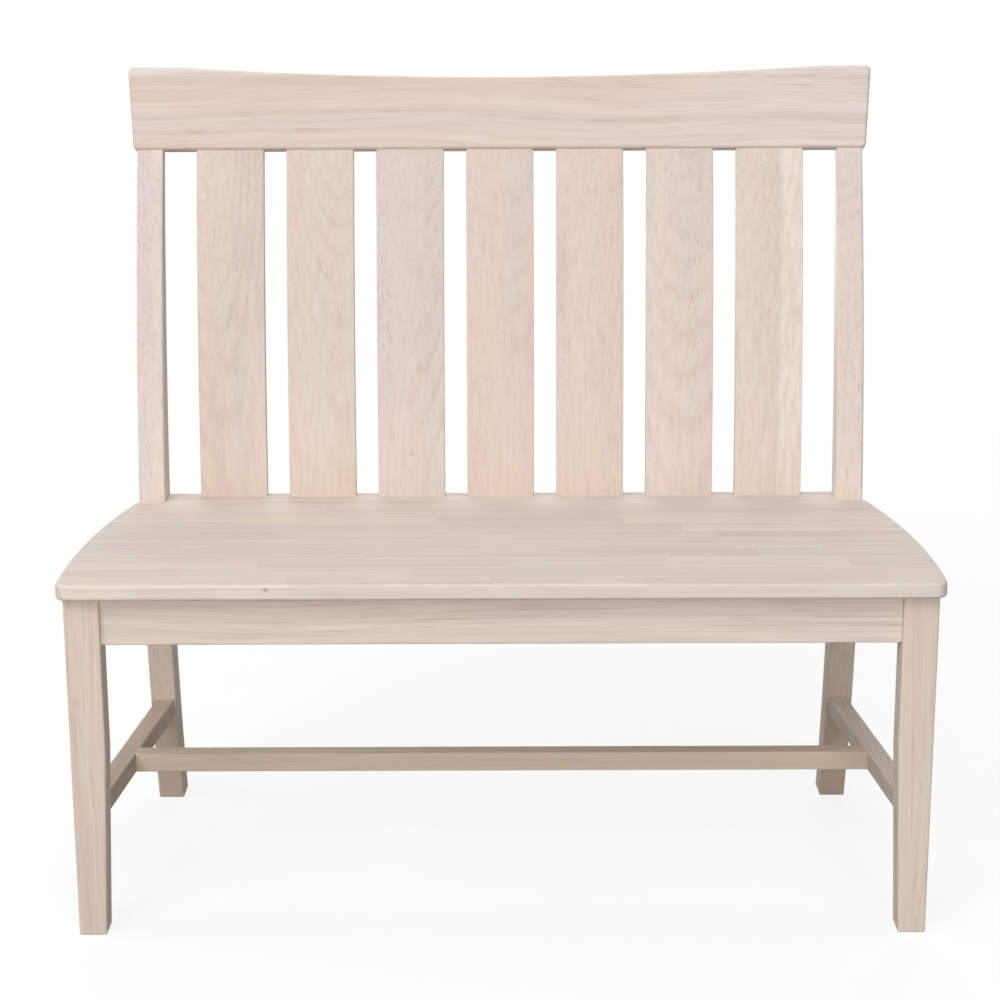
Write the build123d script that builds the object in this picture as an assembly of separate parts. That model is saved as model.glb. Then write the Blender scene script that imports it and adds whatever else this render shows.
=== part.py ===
from build123d import *
import math
import os

# A slat-back bench for two in bare pale hardwood, without arms.
# Lengths are in millimetres and angles in degrees. The front faces -Y, +Z is up, and "left" is the
# side at -X. The pieces are placed from the faces of the front legs, and the finished bench is then
# moved so that its origin lies on the floor below the middle of its bounding box.

# Seat: a glued-up plank whose sides curve and whose rear corners are notched round the posts.
seat_height = 457
seat_thickness = 20
seat_width = 1071
seat_overhang = 15
seat_side_overhang = 9
seat_widest_setback = 90
seat_side_radius = 1538
seat_corner_radius = 15
seat_edge_round = 4
seat_fit_gap = 0.3

# Staves of the seat: the front one is trimmed, the next ones are whole, the rear one is what is left.
front_stave_width = 31.5
stave_width = 43.6
finger_length = 6
finger_count = 5
block_joint_shares = [
    [0.26, 0.49, 0.66, 0.86],
    [0.14, 0.40, 0.73],
    [0.22, 0.51, 0.69, 0.90],
    [0.34, 0.57, 0.80],
    [0.12, 0.37, 0.62, 0.88],
    [0.24, 0.47, 0.76],
    [0.31, 0.55, 0.72, 0.92],
    [0.17, 0.42, 0.65],
    [0.28, 0.50, 0.83],
    [0.19, 0.45, 0.70],
    [0.33, 0.61, 0.85],
]

# Front legs: square-edged at the top, tapered on the inner face towards the foot.
front_leg_width = 43
front_leg_depth = 37
front_foot_width = 34
taper_height = 240

# Rear legs: each is one curved piece, raked foot below, upright at the seat, leaning post above.
rear_leg_inset = 30.5
rear_leg_width = 35.5
rear_leg_depth = 48
leg_spacing = 362
rear_foot_depth = 43
rear_foot_sweep = 65
post_bend_rise = 8
post_rise = 470
post_top_depth = 18
post_setback = 108
post_front_belly = 13
post_back_belly = 9
leg_edge_round = 2.5

# Crest rail: a board that leans back on top of the posts, hollowed along its upper edge.
crest_lean = 18.5
crest_height = 115
crest_lip = 3
crest_overhang = 5
crest_flare = 9
crest_flat_length = 66
crest_dip = 15
crest_corner_radius = 7
crest_edge_round = 4.5

# Back slats: boards bent forward at half height, as the posts are.
slat_count = 7
slat_gap = 31
slat_end_gap = 45.5
slat_thickness = 13
slat_belly = 12
slat_setback = 1.5
slat_edge_round = 1.5

# Stub tenons and their mortises.
slat_tenon_thickness = 7
slat_tenon_shoulder = 8
slat_tenon_length = 14
stretcher_tenon_thickness = 11
stretcher_tenon_height = 16
stretcher_tenon_length = 14
tenon_fit = 0.15
tenon_end_gap = 0.5

# Rails under the seat, and stretchers near the floor, which are square bars of one size.
apron_height = 62
apron_thickness = 19
front_apron_recess = 9
rear_rail_thickness = 19
rear_rail_ledge = 6
side_line_shift = 4.5
stretcher_top = 163
stretcher_size = 25.4
rail_edge_round = 2

# Dowels: two at each end of every apron, of the lower back rail and of the crest rail.
dowel_diameter = 8
dowel_length = 36
dowel_spacing = 36
side_dowel_spacing = 16
dowel_chamfer = 1
crest_dowel_diameter = 6
crest_dowel_spacing = 18
dowel_fit = 0.05
dowel_end_gap = 1

# Corner blocks and their screws.
block_reach = 70
block_height = 38
screw_diameter = 4
screw_head_diameter = 8
screw_head_height = 2.6
screw_recess_diameter = 2.6
screw_recess_depth = 1.2
screw_tip_length = 5
seat_screw_bite = 13
leg_screw_length = 50
screw_fit = 0.05
seat_screw_across_share = 0.52
seat_screw_along_share = 0.3
screw_dome_share = 0.87
screw_dome_angle = 45
leg_screw_height_share = 0.5

# One overrun for every cut and trimmed end.
overrun = 30

os.makedirs("parts", exist_ok=True)

sides = {"left": -1, "right": 1}

# Places that follow from the sizes above. Depths are along Y from the faces of the front legs.
seat_underside = seat_height - seat_thickness
rear_leg_face = front_leg_depth + leg_spacing
rear_leg_back = rear_leg_face + rear_leg_depth
rear_rail_face = rear_leg_back - rear_rail_thickness
apron_bottom = seat_underside - apron_height
seat_front = -seat_overhang
seat_back = rear_rail_face
front_leg_outer = seat_width / 2 - seat_side_overhang
front_leg_inner = front_leg_outer - front_leg_width
rear_leg_outer = front_leg_outer - rear_leg_inset
rear_leg_inner = rear_leg_outer - rear_leg_width
front_apron_back = front_apron_recess + apron_thickness
post_top_face = rear_leg_face + post_setback
post_bend_height = seat_height + post_bend_rise
post_top_height = seat_height + post_rise

# The slats share the width between the posts evenly.
slat_run = 2 * (rear_leg_inner - slat_end_gap)
slat_width = (slat_run - (slat_count - 1) * slat_gap) / slat_count
slat_tenon_width = slat_width - slat_tenon_shoulder - slat_tenon_shoulder

# Directions along the leaning crest rail: up its face, and square to its face towards the back.
crest_up = Vector(0, math.sin(math.radians(crest_lean)), math.cos(math.radians(crest_lean)))
crest_back = Vector(0, math.cos(math.radians(crest_lean)), -math.sin(math.radians(crest_lean)))
post_top = Vector(0, post_top_face, post_top_height)
crest_plane = Plane(origin=post_top, x_dir=(1, 0, 0), z_dir=crest_up)
crest_foot = post_top - crest_back * crest_lip
crest_thickness = post_top_depth + crest_lip

# The side aprons and side stretchers run from a place a little outside the middle of a front leg to
# the middle of a rear leg.
front_meeting = (front_leg_outer + front_leg_inner) / 2 + side_line_shift
rear_middle = (rear_leg_outer + rear_leg_inner) / 2
side_run = Vector(rear_middle - front_meeting, leg_spacing, 0)
side_turn = math.degrees(math.atan2(side_run.X, side_run.Y))
side_centre = Vector((front_meeting + rear_middle) / 2, front_leg_depth + leg_spacing / 2, 0)


def block_between(low, high):
    """A square-edged block from its lowest corner to its highest one."""
    low, high = Vector(low), Vector(high)
    size = high - low
    return Pos((low + high) / 2) * Box(size.X, size.Y, size.Z)


def grown(size, fit):
    """A size with the fit allowed on both of its sides."""
    return size + fit + fit


def rod(centre, direction, diameter, length):
    """A plain round bar about its centre."""
    return Plane(origin=centre, z_dir=direction) * Cylinder(diameter / 2, length)


def mirrored(solid, side):
    """A piece modelled at +X, or its mirror image for the left side."""
    return solid if side > 0 else mirror(solid, about=Plane.YZ)


def finished_leg(leg, face_axis, top):
    """A leg that was drawn too long, with its long edges and foot rounded over, and cut off at the top."""
    outline = [edge for face in leg.faces().filter_by(face_axis) for edge in face.edges()]
    foot = leg.edges().filter_by(face_axis).group_by(Axis.Z)[0]
    return split(fillet(outline + list(foot), leg_edge_round), bisect_by=top, keep=Keep.BOTTOM)


def belly_arc(low, high, belly, inset, above, below):
    """An arc in side view that bulges forward between two places, set back by an inset.

    It runs on past the higher place by the length above, and past the lower one by the length below.
    """
    chord = high - low
    radius = chord.length ** 2 / (8 * belly) + belly / 2
    backward = Vector(0, chord.Z, -chord.Y).normalized()
    centre = (low + high) / 2 + backward * (radius - belly)
    start = math.degrees(math.atan2(high.Z - centre.Z, high.Y - centre.Y) - above / radius)
    spread = math.degrees(2 * math.asin(chord.length / 2 / radius) + (above + below) / radius)
    return CenterArc((centre.Y, centre.Z), radius - inset, start, spread)


# Front legs

def make_front_leg():
    """The right front leg: a square post whose inner face tapers below the stretchers."""
    with BuildSketch(Plane.XZ) as outline:
        with BuildLine():
            Polyline(
                (front_leg_outer, 0),
                (front_leg_outer, seat_underside + overrun),
                (front_leg_inner, seat_underside + overrun),
                (front_leg_inner, taper_height),
                (front_leg_outer - front_foot_width, 0),
                close=True,
            )
        make_face()
    leg = extrude(outline.sketch, -front_leg_depth)
    return finished_leg(leg, Axis.Y, Plane.XY.offset(seat_underside))


# Rear legs

def make_rear_leg():
    """The right rear leg: raked and swept foot, upright length at the seat, leaning curved post."""
    foot_front = (rear_leg_face + rear_foot_sweep, 0)
    foot_back = (rear_leg_face + rear_foot_sweep + rear_foot_depth, 0)
    seat_face = (rear_leg_face, seat_underside)
    seat_rear = (rear_leg_back, seat_underside)
    bend_face = Vector(0, rear_leg_face, post_bend_height)
    bend_rear = Vector(0, rear_leg_back, post_bend_height)
    top_rear = post_top + crest_back * post_top_depth
    with BuildSketch(Plane.YZ.offset(rear_leg_inner)) as outline:
        with BuildLine():
            TangentArc(seat_face, foot_front, tangent=(0, -1))
            Line(foot_front, foot_back)
            TangentArc(seat_rear, foot_back, tangent=(0, -1))
            face_arc = belly_arc(bend_face, post_top, post_front_belly, 0, overrun, 0)
            rear_arc = belly_arc(bend_rear, top_rear, post_back_belly, 0, overrun, 0)
            Line(face_arc @ 0, rear_arc @ 0)
            Line(face_arc @ 1, seat_face)
            Line(rear_arc @ 1, seat_rear)
        make_face()
    return finished_leg(extrude(outline.sketch, rear_leg_width), Axis.X, crest_plane)


# Crest rail

def make_crest_rail():
    """The crest rail, drawn flat, rounded over, and then leaned back on top of the posts."""
    half_bottom = rear_leg_outer + crest_overhang
    half_top = half_bottom + crest_flare
    flat_end = half_top - crest_flat_length
    with BuildSketch() as outline:
        with BuildLine():
            Line((-half_bottom, 0), (half_bottom, 0))
            Line((half_bottom, 0), (half_top, crest_height))
            Line((half_top, crest_height), (flat_end, crest_height))
            ThreePointArc(
                (flat_end, crest_height), (0, crest_height - crest_dip), (-flat_end, crest_height)
            )
            Line((-flat_end, crest_height), (-half_top, crest_height))
            Line((-half_top, crest_height), (-half_bottom, 0))
        make_face()
        corners = [
            corner for corner in outline.vertices()
            if abs(abs(corner.X) - flat_end) > crest_corner_radius
        ]
        fillet(corners, crest_corner_radius)
    board = extrude(outline.sketch, crest_thickness)
    rims = [edge for face in board.faces().filter_by(Axis.Z) for edge in face.edges()]
    board = fillet(rims, crest_edge_round)
    face_plane = Plane(
        origin=crest_foot + crest_back * crest_thickness, x_dir=(1, 0, 0), z_dir=-crest_back
    )
    return face_plane * board


# Lower back rail

def make_rear_rail():
    """The lower back rail: slats stand on its top, and its ledge carries the seat's rear edge."""
    rail = block_between(
        (-rear_leg_inner, rear_rail_face, apron_bottom), (rear_leg_inner, rear_leg_back, seat_height)
    )
    ledge = block_between(
        (-rear_leg_inner, rear_rail_face - rear_rail_ledge, apron_bottom),
        (rear_leg_inner, rear_rail_face, seat_underside),
    )
    rail = rail + ledge
    low_edges = rail.edges().filter_by(Axis.X).group_by(Axis.Z)[0]
    return fillet(low_edges, rail_edge_round)


# Back slats

def slat_place(index):
    """Where a slat's middle stands from side to side."""
    return (index - (slat_count - 1) / 2) * (slat_width + slat_gap)


def slat_low_face():
    """The foot of a slat's front face, on the lower back rail."""
    return Vector(0, rear_rail_face + slat_setback, seat_height)


def slat_top_face():
    """The head of a slat's front face, in the middle of the crest rail's thickness."""
    return crest_foot + crest_back * (crest_thickness - slat_thickness) / 2


def slat_strip():
    """A bent strip that runs on past the lower back rail and the crest rail at both ends."""
    low, high = slat_low_face(), slat_top_face()
    with BuildSketch(Plane.YZ) as outline:
        with BuildLine():
            face_arc = belly_arc(low, high, slat_belly, 0, overrun, overrun)
            rear_arc = belly_arc(low, high, slat_belly, slat_thickness, overrun, overrun)
            Line(face_arc @ 0, rear_arc @ 0)
            Line(face_arc @ 1, rear_arc @ 1)
        make_face()
    return extrude(outline.sketch, slat_width / 2, both=True)


def slat_low_tenon(fit, end_gap):
    """The stub tenon at the foot of a slat, or its mortise when fits are given."""
    middle = slat_low_face() + Vector(0, slat_thickness / 2, 0)
    depth = slat_tenon_length + end_gap
    tenon = Box(grown(slat_tenon_width, fit), grown(slat_tenon_thickness, fit), depth)
    return Pos(middle - Vector(0, 0, depth / 2)) * tenon


def slat_top_tenon(fit, end_gap):
    """The stub tenon at the head of a slat, or its mortise when fits are given."""
    middle = slat_top_face() + crest_back * slat_thickness / 2
    depth = slat_tenon_length + end_gap
    tenon = Box(grown(slat_tenon_width, fit), grown(slat_tenon_thickness, fit), depth)
    seat = Plane(origin=middle + crest_up * depth / 2, x_dir=(1, 0, 0), z_dir=crest_up)
    return seat * tenon


def make_slat():
    """One back slat at the middle of the bench, trimmed to its rails and given its stub tenons."""
    strip = slat_strip()
    long_edges = [edge for face in strip.faces().filter_by(Axis.X) for edge in face.edges()]
    strip = fillet([edge for edge in long_edges if edge.length > slat_width], slat_edge_round)
    strip = split(strip, bisect_by=Plane.XY.offset(seat_height), keep=Keep.TOP)
    strip = split(strip, bisect_by=crest_plane, keep=Keep.BOTTOM)
    return strip + slat_low_tenon(0, 0) + slat_top_tenon(0, 0)


# Aprons and stretchers

def along_side(solid):
    """Place a piece, drawn along Y about the origin, on the line from front leg to rear leg."""
    return Pos(side_centre) * Rot(0, 0, -side_turn) * solid


def side_board(thickness, low, high):
    """A board on the line from front leg to rear leg, longer than the space between the legs."""
    board = block_between(
        (-thickness / 2, -leg_spacing / 2 - overrun, low), (thickness / 2, leg_spacing / 2 + overrun, high)
    )
    return board


def make_front_apron():
    """The apron between the front legs, set back from their faces."""
    apron = block_between(
        (-front_leg_inner, front_apron_recess, apron_bottom),
        (front_leg_inner, front_apron_back, seat_underside),
    )
    low_edges = apron.edges().filter_by(Axis.X).group_by(Axis.Z)[0]
    return fillet(low_edges, rail_edge_round)


def between_legs(board, front_leg, rear_leg):
    """The stretch of a board that lies between the two legs of a side, scribed to both."""
    rest = board - front_leg - rear_leg
    return rest.solids().sort_by(lambda solid: (solid.center() - side_centre).length)[0]


def make_side_apron(front_leg, rear_leg):
    """The right side apron, scribed to both legs."""
    board = side_board(apron_thickness, apron_bottom, seat_underside)
    low_edges = board.edges().filter_by(Axis.Y).group_by(Axis.Z)[0]
    board = along_side(fillet(low_edges, rail_edge_round))
    return between_legs(board, front_leg, rear_leg)


def side_stretcher_tenons(fit, end_gap):
    """The bar that makes both stub tenons of a side stretcher, or their mortises."""
    middle_height = stretcher_top - stretcher_size / 2
    front_reach = leg_spacing / 2 + stretcher_tenon_length + end_gap
    rear_reach = front_reach + stretcher_rear_offset()
    width = grown(stretcher_tenon_thickness, fit)
    height = grown(stretcher_tenon_height, fit)
    bar = block_between(
        (-width / 2, -front_reach, middle_height - height / 2),
        (width / 2, rear_reach, middle_height + height / 2),
    )
    return along_side(bar)


def rear_sweep_radius():
    """The radius of the curve on the front of a rear leg below the seat."""
    return (seat_underside ** 2 + rear_foot_sweep ** 2) / (2 * rear_foot_sweep)


def stretcher_rear_offset():
    """How far the rear leg's face has swept back where the side stretcher meets it."""
    drop = seat_underside - (stretcher_top - stretcher_size / 2)
    radius = rear_sweep_radius()
    return radius - math.sqrt(radius ** 2 - drop ** 2)


def make_side_stretcher(front_leg, rear_leg):
    """The right side stretcher, scribed to both legs, with a stub tenon at each end."""
    board = block_between(
        (-stretcher_size / 2, -leg_spacing / 2 - overrun, stretcher_top - stretcher_size),
        (stretcher_size / 2, leg_spacing / 2 + stretcher_rear_offset() + overrun, stretcher_top),
    )
    board = along_side(fillet(board.edges().filter_by(Axis.Y), rail_edge_round))
    return between_legs(board, front_leg, rear_leg) + side_stretcher_tenons(0, 0)


def side_line_place(depth):
    """How far from the middle the centre line of the side pieces lies at a depth."""
    return side_centre.X + (depth - side_centre.Y) * side_run.X / side_run.Y


def cross_stretcher_middle():
    """The middle of the cross stretcher, halfway along the side stretchers and level with them."""
    return Vector(0, side_centre.Y, stretcher_top - stretcher_size / 2)


def cross_stretcher_tenons(fit, end_gap):
    """The bar that makes both stub tenons of the cross stretcher, or their mortises."""
    reach = side_centre.X + end_gap
    height = grown(stretcher_tenon_height, fit)
    thickness = grown(stretcher_tenon_thickness, fit)
    return Pos(cross_stretcher_middle()) * Box(reach + reach, thickness, height)


def make_cross_stretcher(side_stretchers):
    """The stretcher between the two side stretchers, scribed to both and tenoned into them."""
    reach = side_centre.X
    bar = Pos(cross_stretcher_middle()) * Box(reach + reach, stretcher_size, stretcher_size)
    bar = fillet(bar.edges().filter_by(Axis.X), rail_edge_round)
    for stretcher in side_stretchers:
        bar = bar - stretcher
    body = bar.solids().sort_by(SortBy.VOLUME)[-1]
    return body + cross_stretcher_tenons(0, 0)


# Corner blocks

def block_corner(at_front):
    """The corner of the seat frame that a block fills: inner apron face and rail face."""
    depth = front_apron_back if at_front else rear_rail_face - rear_rail_ledge
    half = apron_thickness / 2 / math.cos(math.radians(side_turn))
    return Vector(side_line_place(depth) - half, depth, 0)


def block_open_face(at_front):
    """The two ends of the slanting face that a block turns to the inside of the seat frame."""
    corner = block_corner(at_front)
    half = apron_thickness / 2 / math.cos(math.radians(side_turn))
    far_depth = corner.Y + block_way(at_front) * block_reach
    on_rail = Vector(corner.X - block_reach, corner.Y, 0)
    on_side = Vector(side_line_place(far_depth) - half, far_depth, 0)
    return on_rail, on_side


def block_way(at_front):
    """The way along Y from a block's corner into the seat frame."""
    return 1 if at_front else -1


def make_corner_block(at_front, neighbours):
    """A right-hand corner block, scribed to the leg and the rails that it stiffens."""
    corner = block_corner(at_front)
    on_rail, on_side = block_open_face(at_front)
    with BuildSketch(Plane.XY.offset(seat_underside - block_height)) as outline:
        with BuildLine():
            Polyline((corner.X, corner.Y), (on_rail.X, on_rail.Y), (on_side.X, on_side.Y), close=True)
        make_face()
    block = extrude(outline.sketch, block_height)
    for neighbour in neighbours:
        block = block - neighbour
    return block.solids().sort_by(SortBy.VOLUME)[-1]


# Screws and dowels

def make_screw(tip_place, direction, length):
    """A round-headed wood screw from its tip, with a small socket in the head."""
    shank = screw_diameter / 2
    head = screw_head_diameter / 2
    with BuildSketch(Plane.XZ) as outline:
        with BuildLine():
            Polyline(
                (0, 0), (shank, screw_tip_length), (shank, length), (head, length),
                (head, length + screw_head_height / 2),
            )
            ThreePointArc(
                (head, length + screw_head_height / 2),
                (head * math.sin(math.radians(screw_dome_angle)), length + screw_head_height * screw_dome_share),
                (0, length + screw_head_height),
            )
            Line((0, length + screw_head_height), (0, 0))
        make_face()
    screw = revolve(outline.sketch, Axis.Z)
    socket = Pos(0, 0, length + screw_head_height) * Box(
        screw_recess_diameter, screw_recess_diameter, screw_recess_depth + screw_recess_depth
    )
    return Plane(origin=tip_place, z_dir=-direction) * (screw - socket)


def screw_hole(tip_place, direction, length):
    """The round hole that a screw's shank fills."""
    middle = tip_place - direction * length / 2
    return rod(middle, direction, grown(screw_diameter, screw_fit), length)


def make_dowel(centre, direction, diameter, length):
    """A dowel pin with chamfered ends."""
    pin = Cylinder(diameter / 2, length)
    pin = chamfer(pin.edges().filter_by(GeomType.CIRCLE), dowel_chamfer)
    return Plane(origin=centre, z_dir=direction) * pin


def dowel_hole(centre, direction, diameter, length):
    """The hole for a dowel, a little longer than the dowel at both ends."""
    return rod(centre, direction, grown(diameter, dowel_fit), grown(length, dowel_end_gap))


def apron_dowel_heights(spacing):
    """The heights of the two dowels at each end of an apron."""
    middle = (apron_bottom + seat_underside) / 2
    return [middle - spacing / 2, middle + spacing / 2]


def frame_dowel_places():
    """Centre and direction of each right-hand dowel of the aprons and the lower back rail."""
    across = Vector(1, 0, 0)
    along = side_run.normalized()
    front_apron_middle = front_apron_recess + apron_thickness / 2
    rear_rail_middle = (rear_rail_face + rear_leg_back) / 2
    places = []
    for height in apron_dowel_heights(dowel_spacing):
        places.append((Vector(front_leg_inner, front_apron_middle, height), across))
        places.append((Vector(rear_leg_inner, rear_rail_middle, height), across))
    for height in apron_dowel_heights(side_dowel_spacing):
        places.append((Vector(side_line_place(front_leg_depth), front_leg_depth, height), along))
        places.append((Vector(side_line_place(rear_leg_face), rear_leg_face, height), along))
    return places


def crest_dowel_places():
    """Centre and direction of the two right-hand dowels between a post and the crest rail."""
    middle = post_top + crest_back * post_top_depth / 2 + Vector(rear_middle, 0, 0)
    step = Vector(crest_dowel_spacing / 2, 0, 0)
    return [(middle - step, crest_up), (middle + step, crest_up)]


# Seat

def seat_outline():
    """The seat's plan: straight front and back, and sides that are arcs about the widest place."""
    half = seat_width / 2
    widest = seat_front + seat_widest_setback
    centre_x = half - seat_side_radius
    front_x = centre_x + math.sqrt(seat_side_radius ** 2 - (seat_front - widest) ** 2)
    back_x = centre_x + math.sqrt(seat_side_radius ** 2 - (seat_back - widest) ** 2)
    with BuildSketch() as outline:
        with BuildLine():
            Line((-front_x, seat_front), (front_x, seat_front))
            ThreePointArc((front_x, seat_front), (half, widest), (back_x, seat_back))
            Line((back_x, seat_back), (-back_x, seat_back))
            ThreePointArc((-back_x, seat_back), (-half, widest), (-front_x, seat_front))
        make_face()
        fillet(outline.vertices().group_by(Axis.Y)[0], seat_corner_radius)
    return outline.sketch


def make_seat_plank():
    """The seat before it is cut into its staves: rounded all round and notched for the posts."""
    plank = Pos(0, 0, seat_underside) * extrude(seat_outline(), seat_thickness)
    rims = [edge for face in plank.faces().filter_by(Axis.Z) for edge in face.edges()]
    rims = [edge for edge in rims if (edge @ 0.5).Y < seat_back - seat_edge_round]
    plank = fillet(rims, seat_edge_round)
    for side in sides.values():
        notch = block_between(
            (rear_leg_inner - seat_fit_gap, rear_leg_face - seat_fit_gap, seat_underside - overrun),
            (seat_width, seat_back + overrun, seat_height + overrun),
        )
        plank = plank - mirrored(notch, side)
    return plank


def stave_bounds():
    """The depths at which each stave of the seat starts and ends."""
    bounds = []
    start = seat_front
    width = front_stave_width
    while start + width < seat_back:
        bounds.append((start, start + width))
        start = start + width
        width = stave_width
    bounds.append((start, seat_back))
    return bounds


def finger_edge(place):
    """The zigzag of finger joints through the seat's thickness, bottom to top."""
    step = seat_thickness / finger_count
    points = [(place, seat_underside)]
    for finger in range(finger_count):
        root = seat_underside + finger * step
        points.append((place + finger_length, root + step / 2))
        points.append((place, root + step))
    return points


def cut_into_blocks(stave, shares):
    """The blocks of one stave, parted at its finger joints."""
    half = seat_width / 2 + overrun
    places = [seat_width * (share - 0.5) for share in shares]
    edges = [finger_edge(place) for place in places]
    left_end = [(-half, seat_underside), (-half, seat_height)]
    right_end = [(half, seat_underside), (half, seat_height)]
    blocks = []
    for left, right in zip([left_end] + edges, edges + [right_end]):
        with BuildSketch(Plane.XZ.offset(-seat_back - overrun)) as slab:
            with BuildLine():
                Polyline(left + right[::-1], close=True)
            make_face()
        cutter = extrude(slab.sketch, seat_back - seat_front + overrun + overrun)
        blocks.extend((stave & cutter).solids())
    return blocks


def make_seat_staves(plank):
    """The blocks of every stave of the seat, front to back."""
    staves = []
    for index, (start, end) in enumerate(stave_bounds()):
        slice_of_plank = plank & block_between(
            (-seat_width, start, seat_underside - overrun), (seat_width, end, seat_height + overrun)
        )
        shares = block_joint_shares[index % len(block_joint_shares)]
        staves.append(cut_into_blocks(slice_of_plank, shares))
    return staves


# The right-hand pieces are made first, then mirrored for the left side.

front_leg = make_front_leg()
rear_leg = make_rear_leg()
crest_rail = make_crest_rail()
rear_rail = make_rear_rail()
front_apron = make_front_apron()
side_apron = make_side_apron(front_leg, rear_leg)
side_stretcher = make_side_stretcher(front_leg, rear_leg)
cross_stretcher = make_cross_stretcher([side_stretcher, mirrored(side_stretcher, -1)])
seat_plank = make_seat_plank()
middle_slat = make_slat()
front_block = make_corner_block(True, [front_leg, front_apron, side_apron])
rear_block = make_corner_block(False, [rear_leg, rear_rail, side_apron])

# Mortises.

front_leg = front_leg - side_stretcher_tenons(tenon_fit, tenon_end_gap)
rear_leg = rear_leg - side_stretcher_tenons(tenon_fit, tenon_end_gap)
side_stretcher = side_stretcher - cross_stretcher_tenons(tenon_fit, tenon_end_gap)
for index in range(slat_count):
    here = Pos(slat_place(index), 0, 0)
    rear_rail = rear_rail - here * slat_low_tenon(tenon_fit, tenon_end_gap)
    crest_rail = crest_rail - here * slat_top_tenon(tenon_fit, tenon_end_gap)

# Dowels and their holes.

frame_dowels = [make_dowel(*place, dowel_diameter, dowel_length) for place in frame_dowel_places()]
crest_dowels = [make_dowel(*place, crest_dowel_diameter, dowel_length) for place in crest_dowel_places()]
for place in frame_dowel_places():
    hole = dowel_hole(*place, dowel_diameter, dowel_length)
    front_leg = front_leg - hole
    rear_leg = rear_leg - hole
    side_apron = side_apron - hole
    front_apron = front_apron - hole - mirrored(hole, -1)
    rear_rail = rear_rail - hole - mirrored(hole, -1)
for place in crest_dowel_places():
    hole = dowel_hole(*place, crest_dowel_diameter, dowel_length)
    rear_leg = rear_leg - hole
    crest_rail = crest_rail - hole - mirrored(hole, -1)

# Screws and their holes: one from each block up into the seat, one from each block into its leg.

seat_screws = []
leg_screws = []
blocks = {}
for end, block in (("front", front_block), ("rear", rear_block)):
    at_front = end == "front"
    way = block_way(at_front)
    corner = block_corner(at_front)
    up = Vector(0, 0, 1)
    seat_tip = corner + Vector(
        -block_reach * seat_screw_across_share,
        way * block_reach * seat_screw_along_share,
        seat_underside + seat_screw_bite,
    )
    seat_length = block_height + seat_screw_bite
    seat_hole = screw_hole(seat_tip, up, seat_length)
    on_rail, on_side = block_open_face(at_front)
    open_face = on_side - on_rail
    into_leg = Vector(abs(open_face.Y), -way * open_face.X, 0).normalized()
    leg_screw_rise = Vector(0, 0, seat_underside - block_height * leg_screw_height_share)
    leg_tip = (on_rail + on_side) / 2 + leg_screw_rise + into_leg * leg_screw_length
    leg_hole = screw_hole(leg_tip, into_leg, leg_screw_length)
    block = block - seat_hole - leg_hole
    if at_front:
        front_leg = front_leg - leg_hole
    else:
        rear_leg = rear_leg - leg_hole
    seat_plank = seat_plank - seat_hole - mirrored(seat_hole, -1)
    blocks[end] = block
    seat_screws.append(make_screw(seat_tip, up, seat_length))
    leg_screws.append(make_screw(leg_tip, into_leg, leg_screw_length))


def both_sides(solids):
    """The right-hand solids together with their mirror images."""
    return [mirrored(solid, side) for side in sides.values() for solid in solids]


# Name every piece and list its solids: most pieces are one solid, staves and fasteners are several.

pieces = {
    "crest_rail": [crest_rail],
    "lower_back_rail": [rear_rail],
    "front_apron": [front_apron],
    "cross_stretcher": [cross_stretcher],
    "frame_dowels": both_sides(frame_dowels),
    "crest_dowels": both_sides(crest_dowels),
    "seat_screws": both_sides(seat_screws),
    "corner_block_screws": both_sides(leg_screws),
}
for name, side in sides.items():
    pieces["front_leg_" + name] = [mirrored(front_leg, side)]
    pieces["rear_leg_" + name] = [mirrored(rear_leg, side)]
    pieces["side_apron_" + name] = [mirrored(side_apron, side)]
    pieces["side_stretcher_" + name] = [mirrored(side_stretcher, side)]
    for end, block in blocks.items():
        pieces["corner_block_" + end + "_" + name] = [mirrored(block, side)]
for index in range(slat_count):
    pieces["back_slat_%d" % (index + 1)] = [Pos(slat_place(index), 0, 0) * middle_slat]
for index, stave in enumerate(make_seat_staves(seat_plank)):
    pieces["seat_stave_%d" % (index + 1)] = stave

# Move every solid so that the origin is below the middle of the bench, and write one file per piece.

boxes = [solid.bounding_box() for solids in pieces.values() for solid in solids]
front_reach = min(box.min.Y for box in boxes)
rear_reach = max(box.max.Y for box in boxes)
to_origin = Pos(0, -(front_reach + rear_reach) / 2, 0)
for name, solids in pieces.items():
    placed = [to_origin * solid for solid in solids]
    export_step(placed[0] if len(placed) == 1 else Compound(children=placed), "parts/" + name + ".step")

height = max(box.max.Z for box in boxes)
width = max(box.max.X for box in boxes) - min(box.min.X for box in boxes)
print("pieces", len(pieces))
print("box", round(width, 2), round(rear_reach - front_reach, 2), round(height, 2))
print("front leg faces lie at Y", round(-(front_reach + rear_reach) / 2, 3))
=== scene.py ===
# %% [markdown]
# # A slat-back bench in bare pale hardwood
# The real bench is joined from planed boards: tapered front legs, rear legs that run up into curved
# posts, a plank seat glued up from short jointed blocks, and a row of bent slats under a leaning crest
# rail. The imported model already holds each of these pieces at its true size, so this script loads it
# as a fixed frame and adds what the eye sees: the light, the camera, the wood, and the pieces that
# are better grown from a rule than drawn one by one. Lengths are in metres.

# %% Load the fixed frame
import math
import random
from dataclasses import dataclass

import bpy
import numpy as np
from mathutils import Matrix, Vector
from mathutils.bvhtree import BVHTree


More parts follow.
